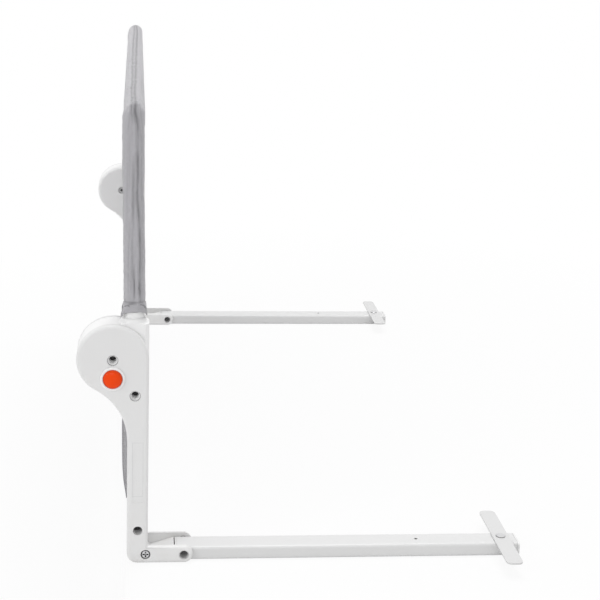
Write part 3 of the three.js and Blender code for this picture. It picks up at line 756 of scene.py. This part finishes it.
def arch(offset):
    """An arch at an offset outside the frame's middle line, up the left, over and down the right."""
    side, top = UPRIGHT_Y + offset, TOP_Z + offset
    rise = np.linspace(HEM_Z, top - ROUND, STEPS["upright"])
    turn = np.linspace(0, math.pi / 2, STEPS["corner"] + 1)[1:]
    run = np.linspace(-side + ROUND, side - ROUND, STEPS["top"])[1:]
    left = [(-side, z) for z in rise]
    left += [(-side + ROUND - ROUND * math.cos(a), top - ROUND + ROUND * math.sin(a)) for a in turn]
    right = [(-y, z) for y, z in reversed(left)]
    return np.array(left + [(y, top) for y in run[:-1]] + right)


print("frame plane", round(FRAME_X, 4), "half thickness", round(HALF, 4), "upright", round(UPRIGHT_Y, 4))

# %% [markdown]
# ## Rings of the sleeve
#
# Each ring of the sleeve is a soft square, rounder at the two corners and flatter towards the
# window. It starts a little slimmer than the real thing, to leave room for the swelling. On the
# uprights it leans a little outwards, as the photograph shows.

# %% Span the rings between the outlines
AROUND = 48
SLIM = 0.0012
CROWDING = 0.05  # draws the points together near the seam
CORNER_REACH = 0.02
LEAN_FROM, LEAN_OVER = 0.335, 0.19  # the height where the lean begins, and the height it takes
PAST_CORNER, NARROWER = 0.022, 0.0017  # past the corner the rail is this much narrower
TUBE_ROOM = 0.0006
SQUARE, ROUNDER = 0.66, 0.34  # the power of a ring's soft square, and what a corner adds to it
DROP, CORNER_DROP, DROP_POWER = 0.09, 0.3, 1.8  # how the outer edge falls off to both sides
AWAY = (0.0132, 0.0016, 0.0010)  # half thickness from the bed: constant, linear and cubic in height
BEDWARD = (0.0120, -0.0032)  # half thickness to the bed: constant and linear in height


def soft_square(angle, power):
    """A circle's cosine and sine, pushed out towards a square by a power below 1."""
    return [np.sign(v) * np.abs(v) ** power for v in (np.cos(angle), np.sin(angle))]


def cover_rings():
    outer, inner = arch(HALF - SLIM / 3), arch(SLIM - HALF)
    centre, reach = (outer + inner) / 2, (outer - inner) / 2
    share = np.arange(AROUND) / AROUND
    angle = TURN * (share - CROWDING * np.sin(TURN * share))
    from_corner = np.hypot(np.abs(centre[:, 0]) - UPRIGHT_Y, centre[:, 1] - TOP_Z)
    at_corner = np.exp(-((from_corner / CORNER_REACH) ** 2))[:, None]
    out, wide = soft_square(angle[None, :], SQUARE + ROUNDER * at_corner)
    out = out - np.where(out > 0, (DROP + CORNER_DROP * at_corner) * np.abs(wide) ** DROP_POWER, 0)
    height = np.clip((centre[:, 1] - LEAN_FROM) / LEAN_OVER, -0.2, 1)[:, None]
    away = AWAY[0] + AWAY[1] * height + AWAY[2] * height**3 - SLIM
    past = np.clip((UPRIGHT_Y - np.abs(centre[:, 0]) + 0.002) / PAST_CORNER, 0, 1)[:, None]
    away = away - NARROWER * past**2 * (3 - 2 * past)
    bedward = np.maximum(BEDWARD[0] + BEDWARD[1] * height, TUBE + TUBE_ROOM)
    x = FRAME_X + np.where(wide < 0, away * wide, bedward * wide)
    return points_at(x, centre[:, :1] + reach[:, :1] * out, centre[:, 1:] + reach[:, 1:] * out)


rings = cover_rings()
print("cover grid", rings.shape)

# %% [markdown]
# ## Swell the cover
#
# Blender's Cloth modifier with pressure, and gravity off, blows the sleeve up like the foam inside
# does. The seam line on the outside and the window line stay pinned, so that the padding rises on
# both sides of them. The cloth is cut a few thousandths too long, so it finds its own shallow
# creases. A cap on each point's way keeps the fabric inside the space that the engineering model
# gives it. The result is applied.

# %% Simulate
PRESSURE, FRAMES = 3.0, 16
TOO_LONG = -0.002  # a shrink factor below zero lengthens the cloth
CAP = 0.0006


def swell(obj, pins):
    """The object's points after the simulation, and how far each one would have gone."""
    start = places(obj)
    group = obj.vertex_groups.new(name="held")
    group.add([int(i) for i in pins], 1.0, "REPLACE")
    cloth = obj.modifiers.new("cloth", "CLOTH")
    settings = cloth.settings
    settings.quality = 5
    settings.mass = 0.15
    settings.tension_stiffness = settings.compression_stiffness = 12
    settings.bending_stiffness = 0.05
    settings.vertex_group_mass = "held"
    settings.use_pressure = True
    settings.uniform_pressure_force = PRESSURE
    settings.shrink_min = TOO_LONG
    settings.effector_weights.gravity = 0
    cloth.point_cache.frame_start, cloth.point_cache.frame_end = 1, FRAMES
    for tick in range(1, FRAMES + 1):
        bpy.context.scene.frame_set(tick)
    apply_modifiers(obj)
    bpy.context.scene.frame_set(1)
    moved = places(obj) - start
    length = lengths(moved)[:, None]
    moved *= np.minimum(1, CAP / np.maximum(length, 1e-9))
    return start + moved, length


slack = grid("cover_before_swelling", rings, closed=True)
index = np.arange(rings.shape[0] * AROUND).reshape(rings.shape[0], AROUND)
held = np.concatenate([index[:, 0], index[:, AROUND // 2], index[0], index[-1]])
swollen, way = swell(slack, held)
bpy.data.objects.remove(slack)
rings = swollen.reshape(rings.shape)
print("fabric moved", round(float(way.max()) / MM, 2), "mm at most")

# %% [markdown]
# ## A finer sleeve that knows its distances
#
# What a simulation this size can't show comes next, as small moves along each point's normal: the
# seam, the long creases, the puckers and the gathered hem. They need more points. Because the sleeve
# is a grid, every point knows how far it is up the sleeve and how far round it from the front.

# %% Refine the grid and measure it
def finer(points, axis, closed):
    """Doubles a grid along one axis, with the four-point rule that keeps the old points."""
    p = np.moveaxis(points, axis, 0)
    if closed:
        before, after, second = np.roll(p, 1, 0), np.roll(p, -1, 0), np.roll(p, -2, 0)
        now = p
    else:
        now, after = p[:-1], p[1:]
        before = np.concatenate([2 * p[:1] - p[1:2], p[:-2]])
        second = np.concatenate([p[2:], 2 * p[-1:] - p[-2:-1]])
    half = (9 * (now + after) - before - second) / 16
    made = np.zeros((len(p) + len(half),) + p.shape[1:])
    made[0::2], made[1::2] = p, half
    return np.moveaxis(made, 0, axis)


def grid_normals(points):
    """Normals of a tube grid, all to one side of its wall."""
    along = np.gradient(points, axis=0)
    around = np.roll(points, -1, 1) - np.roll(points, 1, 1)
    normal = np.cross(around, along)
    return normal / np.maximum(lengths(normal)[:, :, None], 1e-12)


def distance_round(points):
    """Signed distance round each ring from its first point, positive towards the bed."""
    steps = lengths(np.roll(points, -1, 1) - points)
    length = np.cumsum(steps, axis=1)
    whole = length[:, -1:]
    length = np.concatenate([np.zeros_like(whole), length[:, :-1]], axis=1)
    return np.where(length > whole / 2, length - whole, length)


def distance_along(points):
    """Distance up the sleeve to each ring, one number in each row."""
    steps = lengths(np.diff(points[:, 0], axis=0))
    return np.concatenate([[0], np.cumsum(steps)])[:, None]


fabric = finer(finer(rings, 0, False), 1, True)
normal = grid_normals(fabric)
if normal[fabric.shape[0] // 2, 0, 2] < 0:
    normal = -normal
around_mm = distance_round(fabric) / MM
along_mm = distance_along(fabric) / MM
LENGTH = along_mm[-1, 0]
CORNER = along_mm[np.argmax(fabric[:, 0, 2] > cover_high.z - ROUND / 2), 0]
from_end = np.minimum(along_mm, LENGTH - along_mm)
print("sleeve", round(LENGTH), "mm long, corner at", round(CORNER), "mm, ring", fabric.shape[1], "points")

# %% [markdown]
# ## The seam
#
# The seam runs down the outside of the sleeve. On the uprights it is one deep groove between two
# full sides, and along the rail one ply laps over the other, which shows as two lines with a darker
# strip between them. Sewn cloth is never straight, so slow waves of seeded phase make it waver. The
# height of the cloth is gathered in one array and its painted shade in another.

# %% Draw the seam
rng = np.random.default_rng(7)
WAVES = 6


def waver(at, size, low, high):
    """A smooth uneven line: a few waves of seeded phase, from low to high long."""
    total = np.zeros_like(at)
    for wave in rng.uniform(low, high, WAVES):
        total += np.sin(at * TURN / wave + rng.uniform(0, TURN))
    return total * size / math.sqrt(WAVES)


def bell(distance, width):
    """1 at no distance, fading out over about twice the width, both in mm."""
    return np.exp(-((distance / width) ** 2))


def ramp(value, low, high):
    """0 up to low, 1 from high on, and smooth between."""
    share = np.clip((value - low) / (high - low), 0, 1)
    return share * share * (3 - 2 * share)


def span(values):
    return round(float(values.min()), 2), "to", round(float(values.max()), 2)


SEAM = (
    # mm along the sleeve, mm aside of its front line
    (0, 7.2), (18, 7.2), (36, 5.7), (53, 5.45), (76, 6.6), (98, 6.0), (121, 4.25), (143, 2.3),
    (166, 2.95), (189, 2.5), (211, 2.6), (222, 2.2), (231, 1.4), (240, -0.6), (262, -0.4),
    (300, -0.8), (345, -1.2), (450, -0.6), (570, 0.0), (705, 0.2), (865, 0.8), (1050, 1.8),
    (1235, 0.4), (1262, 0.8), (1330, 3.4), (1400, 4.6), (1490, 6.4),
)
LAP = (
    # mm along the sleeve, mm that one ply laps over the other
    (262, 3.5), (450, 3.7), (600, 4.5), (865, 5.2), (1050, 4.9), (1200, 4.0),
)
FLAT_AT, FLAT_LONG = 207, 16  # mm up the sleeve where the groove almost closes
seam = np.interp(along_mm, *zip(*SEAM)) + waver(along_mm, 0.35, 40, 140)
lap = np.interp(along_mm, *zip(*LAP))
aside = around_mm - seam
strength = 0.95 + waver(along_mm, 0.2, 12, 50)
on_post = 1 - ramp(from_end, CORNER - 22, CORNER - 2)
on_rail = 1 - on_post
open_groove = 1 - 0.75 * bell(from_end - FLAT_AT, FLAT_LONG)
groove = bell(aside - 0.4, 1.4 + 0.3 * on_post)
far_edge = bell(aside + lap + 0.5 * np.sin(along_mm * TURN / 37), 1.2)
valley = (1.5 * on_post * open_groove + 0.95 * on_rail) * groove * strength
edge = 1.15 * on_rail * far_edge * (0.85 + waver(along_mm, 0.25, 8, 30))
print("seam from", *span(seam), "mm aside")

# %% [markdown]
# ## Full sides, dark lines and puckers
#
# Beside each line the padding stands up, and along it the thread draws the cloth into small
# puckers. The lines and the strip between them are painted darker, a painted shade for the light
# that doesn't reach their bottoms.

# %% Raise the sides of the seam and paint shade into its lines
relief = -valley - edge
relief += on_post * (1.15 * bell(aside + 2.6, 1.7) + 0.35 * bell(aside - 3.6, 1.7))
on_lap = 0.25 * bell(aside + lap / 2, 1.7)
relief += on_rail * (on_lap + 0.5 * bell(aside + lap + 2.4, 1.5) + 0.3 * bell(aside - 3.2, 1.6))
# painted shade along the seam's lines and the lapped strip between them
rail_lines = on_rail * np.maximum(1.2 * groove, 0.95 * far_edge)
painted_crease_shade = np.maximum(0.6 * on_post * open_groove * groove, rail_lines) * strength
between = (0.26 + waver(along_mm, 0.12, 6, 20)) * bell(aside + lap / 2, lap / 2.4)
painted_crease_shade = np.maximum(painted_crease_shade, on_rail * between)
relief += waver(along_mm, 0.3, 5, 11) * bell(aside + on_rail * lap / 2, 5.5)
print("relief from", *span(relief), "mm")

# %% [markdown]
# ## Long creases
#
# Cloth that is pulled round a tube folds in long shallow lines, and where the rail turns into the
# upright they meet in a fan. Each fold is one row of a table: where it starts and ends, how wide
# and how deep it is. A fold sinks in its middle and rises a little beside it. One row is a ridge,
# with its depth below zero. Broad low waves over the whole sleeve finish the padding.

# %% Fold the long creases
CREASES = (
    # from, to (mm up the sleeve), mm aside at each end, width, depth
    (20, 66, -0.2, -0.4, 0.9, 1.35),
    (28, 108, -3.4, -2.2, 1.1, 0.60),
    (22, 120, -7.0, -6.4, 1.3, 0.35),
    (95, 205, -9.6, -8.8, 1.2, 0.30),
    (104, 192, -1.5, -1.7, 1.2, 1.00),
    (150, 215, -5.6, -6.2, 1.1, 0.30),
    (24, 140, 10.4, 9.4, 1.2, 0.35),
    (120, 225, 8.4, 7.4, 1.3, 0.45),
    (222, 262, 2.6, -3.4, 1.1, 1.00),
    (204, 246, 0.4, -2.2, 1.0, -1.30),
    (214, 252, -8.6, -4.6, 1.2, 0.40),
    (222, 256, 9.0, 4.2, 1.2, 0.55),
    (206, 246, 12.2, 6.8, 1.4, 0.40),
    (40, 220, -21.0, -19.0, 2.2, 0.60),
    (28, 160, 21.0, 19.5, 2.2, 0.60),
    (262, 420, -13.0, -11.0, 1.6, 0.50),
    (300, 520, 9.5, 8.0, 1.6, 0.45),
    (480, 740, -12.0, -10.0, 1.8, 0.40),
)
for low, high, start, end, width, depth in CREASES:
    share = np.clip((from_end - low) / (high - low), 0, 1)
    fold_line = start + (end - start) * share + waver(along_mm, 0.35, 25, 90)
    fade = depth * np.sin(math.pi * share) ** 0.6
    fold = fade * bell(around_mm - fold_line, width)
    relief += 0.5 * fade * bell(around_mm - fold_line + 2 * width, width) - fold
    # each fold is painted with shade as deep as it sinks
    painted_crease_shade = np.maximum(painted_crease_shade, fold * 0.65)

KNOT, DIMPLE, FULL = 129, 125, 205  # mm up the sleeve: a small knot, the dimple by it, a full front
relief += 0.7 * bell(from_end - KNOT, 1.6) * bell(around_mm + 2.4, 1.4)
relief -= 0.6 * bell(from_end - DIMPLE, 1.5) * bell(around_mm + 1.6, 1.2)
relief += 0.9 * on_post * open_groove * bell(around_mm + 0.6, 3.0) * bell(from_end - FULL, 34)
near_corner, far_corner = bell(along_mm - CORNER - 2, 15), bell(along_mm - LENGTH + CORNER + 2, 15)
relief += (2.4 * near_corner - 1.2 * far_corner) * bell(around_mm, 8)
front = 0.35 + 0.65 * bell(around_mm, 9)
relief += waver(along_mm, 0.26, 60, 240) * np.sin(around_mm * TURN / 31) * front
relief += waver(along_mm, 0.16, 22, 60) * np.cos(around_mm * TURN / 23 + 1)
relief += waver(along_mm, 0.12, 7, 16) * np.sin(around_mm * TURN / 11 + 0.7)
print(len(CREASES), "creases, relief from", *span(relief), "mm")

# %% [markdown]
# ## The gathered hem
#
# The sleeve's ends are gathered by a line of stitches 18 mm above the edge, and below it the cloth
# flares in soft ripples. The edge isn't level: it hangs lowest at the two outer corners, where the
# hem's flare is widest, and rises between them. A table of heights round the ring draws that.

# %% Gather the hem
HEM_HIGH = 18.0
FLARE_AT, FLARE_WIDE = 15, 7  # mm round the ring to the flared corners, and their width
EDGE = (
    # mm round the ring, mm that the edge is lifted
    (-24, 7.0), (-20, 5.0), (-17, 1.6), (-14.5, 0.3), (-12.5, 3.0), (-11, 5.4), (-8, 7.2), (-3, 8.0),
    (3, 8.2), (8, 7.8), (11, 6.8), (13, 4.8), (14.5, 2.6), (17, 2.6), (20, 5.0), (24, 7.0),
)
in_hem = 1 - ramp(from_end, HEM_HIGH - 2.0, HEM_HIGH + 0.5)
down = np.clip(1 - from_end / HEM_HIGH, 0, 1)
stitch_line = HEM_HIGH + 0.4 + waver(np.arange(fabric.shape[1]) * 1.0, 0.5, 14, 60)[None, :]
stitched = bell(from_end - stitch_line, 1.4) * (0.55 + 0.9 * bell(around_mm + 2.5, 4.8))
ripple = waver(around_mm + 2.2 * from_end, 0.55, 9, 17)
ripple += waver(around_mm - 1.5 * from_end, 0.5, 8, 15)
ripple += 0.8 * np.sin((from_end - 0.35 * around_mm) * TURN / 7.0) * bell(around_mm + 1, 9)
calm = 1 - 0.65 * (bell(around_mm + 6.5, 4) + bell(around_mm - 9.5, 3))
gathered = ripple * calm * (0.32 + 0.3 * down)
relief = relief * (1 - 0.8 * in_hem) - 1.15 * stitched + in_hem * (0.8 + gathered)
flare = bell(around_mm + FLARE_AT, FLARE_WIDE) + 0.5 * bell(around_mm - FLARE_AT, FLARE_WIDE)
relief += (0.7 + 2.6 * flare) * down
# painted shade at the stitch line, in the flared corners and in the ripples' hollows
painted_crease_shade = np.maximum(painted_crease_shade * (1 - 0.9 * in_hem), 0.95 * stitched)
corner_shade = 0.85 * down**2 * bell(np.abs(around_mm) - FLARE_AT, 2.2)
painted_crease_shade = np.maximum(painted_crease_shade, in_hem * (0.1 * ramp(around_mm, 1.0, 4.0) + corner_shade))
painted_crease_shade = np.maximum(painted_crease_shade, in_hem * np.clip(-ripple, 0, 1) * 0.04)
shaped = fabric + normal * relief[:, :, None] * MM
shaped[:, :, 2] += np.interp(around_mm, *zip(*EDGE)) * down * MM
print("with the hem, relief from", *span(relief), "mm")

# %% [markdown]
# ## Room for the tubes
#
# The steel inside the sleeve must never show through a crease. For each point of the fabric the
# nearest point of the frame's middle line is found, and a point that is inside the tube, or inside
# the thicker corner piece, is moved straight out.

# %% Keep the fabric off the tubes
GAP = 0.0004
ELBOW_REACH = 0.014
tube_y = np.clip(shaped[:, :, 1], -UPRIGHT_Y, UPRIGHT_Y)
over_top = points_at(FRAME_X, tube_y, TOP_Z)
post_y = np.sign(shaped[:, :, 1]) * UPRIGHT_Y
up_post = points_at(FRAME_X, post_y, np.minimum(shaped[:, :, 2], TOP_Z))
near_top = lengths(shaped - over_top) < lengths(shaped - up_post)
inner_line = np.where(near_top[:, :, None], over_top, up_post)
from_line = shaped - inner_line
clear = lengths(from_line)[:, :, None]
elbow = lengths(inner_line - up_post) < ELBOW_REACH
elbow &= inner_line[:, :, 2] > TOP_Z - ELBOW_REACH
least = np.where(elbow, ELBOW + GAP, TUBE + GAP)[:, :, None]
pushed = int((clear < least).sum())
shaped = inner_line + from_line * np.maximum(1, least / clear)
print(pushed, "points moved off the tubes")

# %% [markdown]
# ## Turn the hem in
#
# A hem is folded, so its edge is thick and the sleeve doesn't end as a sheet of paper. A few more
# rows of the grid go round the edge and back up inside.

# %% Turn the hem in and finish the cover
HEM_PLY = 0.0013
TURNS_IN = ((1.0, 9.0), (1.0, 3.0), (0.9, 0.2), (0.45, -0.4))  # plies inwards, mm above the edge
INSIDE_SHADE = 0.8


def turned_in(edge):
    """Rows that carry a hem's edge round and up inside."""
    flat = edge.mean(axis=0, keepdims=True) - edge
    flat[:, 2] = 0
    toward = flat / lengths(flat)[:, None]
    return np.stack([edge + toward * HEM_PLY * k + np.array([0, 0, z * MM]) for k, z in TURNS_IN])


first, last = turned_in(shaped[0]), turned_in(shaped[-1])[::-1]
cover = grid("padded_cover", np.concatenate([first, shaped, last]), closed=True)
inside = np.full(first.shape[:2], INSIDE_SHADE)
write_painted_shade(cover, np.concatenate([inside, painted_crease_shade, inside]))
cover.data.materials.append(grey_fabric)
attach(cover, "rail")
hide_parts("cover")
print("cover has", len(cover.data.vertices), "points")

# %% [markdown]
# ## The lower band
#
# Below the window the cover closes round the cross tube. It is a second padded sleeve, whose ends
# are sewn into the uprights. A slight swag keeps its long edges from being ruled lines.

# %% Build the lower band
BAND_THICK = 0.0112
BAND_AROUND = 32
BAND_POWER = 0.8
SWAG = 0.0006
BAND_PLAY, BAND_SHORT = 0.0006, 0.006
band_mid = (HEM_Z + window_low.z) / 2
band_high = (window_low.z - HEM_Z) / 2 - BAND_PLAY
band_reach = UPRIGHT_Y - BAND_SHORT
angle = np.arange(BAND_AROUND) * TURN / BAND_AROUND
band_y = np.linspace(-band_reach, band_reach, 240)[:, None]
swag = SWAG * np.sin(band_y * 47) * np.sin(band_y * 13 + 1)
high, wide = soft_square(angle, BAND_POWER)
band_points = points_at(FRAME_X + wide * BAND_THICK, band_y, band_mid + high * band_high + swag)
band = grid("lower_band", band_points, closed=True)
band.data.materials.append(grey_fabric)
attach(band, "rail")
print("band from", round(band_mid - band_high, 4), "to", round(band_mid + band_high, 4))

# %% [markdown]
# ## The mesh window
#
# The window is a breathable knitted mesh. Threads cross in two slanting sets and leave small holes,
# so a child can breathe and be seen through it. Holes that small are best as an alpha pattern on a
# real thin sheet.

# %% Make the mesh finish
SLANT = 1.7


def knitted(name, shade, tint, pitch, width):
    """A net whose holes repeat every pitch; width is the thread's share, between 0 and 1."""
    finish = Finish(name)
    along, across, _ = finish.split(finish.node("UVMap", {"uv_map": "cloth"}))
    one = abs(((along * SLANT + across) * (math.pi / pitch)).sine())
    two = abs(((along * SLANT - across) * (math.pi / pitch)).sine())
    thread = one.least(two)
    solid = thread < width
    cloud = finish.noise(40, 3)
    colour = finish.mix(cloud, grey(shade * 0.85, tint), grey(shade * 1.1, tint))
    relief = finish.bump(1 - thread, 0.0004)
    return finish.surface(
        Base_Color=colour, Roughness=0.85, Normal=relief, Alpha=solid, Specular_IOR_Level=0.2
    )


grey_mesh = knitted("grey_knitted_mesh", 0.42, VIOLET_GREY, pitch=0.0032, width=0.42)
print(grey_mesh.name, len(grey_mesh.node_tree.nodes), "nodes")

# %% [markdown]
# ## Stretch the window
#
# Stretched mesh is nearly flat, with a shallow wave where the sewing pulls unevenly. It goes a little
# way into the cover on all sides, where it is sewn in.

# %% Build the window
SEWN_IN = 0.004
WAVE = 0.0009
window_y = np.linspace(window_low.y - SEWN_IN, window_high.y + SEWN_IN, 160)[:, None]
window_z = np.linspace(window_low.z - SEWN_IN, window_high.z + SEWN_IN, 40)
belly = np.sin(np.linspace(0, math.pi, len(window_z)))
window_x = FRAME_X + WAVE * np.sin(window_y * 21) * belly
window = grid("mesh_window", points_at(window_x, window_y, window_z))
window.data.materials.append(grey_mesh)
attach(window, "rail")
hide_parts("mesh_panel")

# %% [markdown]
# ## The skirt
# Below the hinges a single layer of the same fabric hangs from the band to a rod between the ends.
# It bulges outwards where the fabric is longer than the gap. It joins the swinging frame to the
# standing ends. The whole sheet carries painted shade for the shadow it hangs in, deeper in the
# folds that lie back.

# %% Build the skirt
HALF_POST = 0.0125
BULGE = (
    # share of the way up, half post widths outwards
    (-0.019, 0.86), (0.012, 1.06), (0.052, 1.2), (0.095, 1.31), (0.15, 1.39), (0.26, 1.42),
    (0.4, 1.43), (0.57, 1.3), (0.74, 1.02), (0.88, 0.76), (1, 0.62),
)
SMOOTHED = 7
SKIRT_PLY = 0.0011
SKIRT_PLAY, INTO_BAND = 0.0006, 0.004
ROD = Vector((middle("skirt_rod", X), 0, middle("skirt_rod", Z)))
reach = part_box("skirt")[1].y - SKIRT_PLAY
top_z = HEM_Z + INTO_BAND
runs = np.linspace(-reach, reach, 230)[:, None]
ups = np.linspace(0, 1, 60)
outs = np.interp(ups, *zip(*BULGE))
outs = np.convolve(np.pad(outs, SMOOTHED // 2, mode="edge"), np.ones(SMOOTHED) / SMOOTHED, mode="valid")
folds = 0.0016 * np.sin(runs * 31 + 2 * np.sin(runs * 9)) + 0.0011 * np.sin(runs * 74 + 1)
loose = np.sin(ups * math.pi) ** 0.8
skirt_x = ROD.x - outs * HALF_POST + folds * loose
skirt_points = points_at(skirt_x, runs, ROD.z + ups * (top_z - ROD.z))
skirt = grid("skirt_sheet", skirt_points)
# painted shade over the whole skirt, deeper in the folds that lie back
painted_skirt_shade = 0.38 + 0.22 * np.clip(folds / folds.max(), -1, 1)
write_painted_shade(skirt, np.repeat(painted_skirt_shade, len(ups), axis=1))
thick = skirt.modifiers.new("thick", "SOLIDIFY")
thick.thickness, thick.offset = SKIRT_PLY, 0
apply_modifiers(skirt)
skirt.data.materials.append(grey_fabric)
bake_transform(skirt)
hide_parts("skirt")
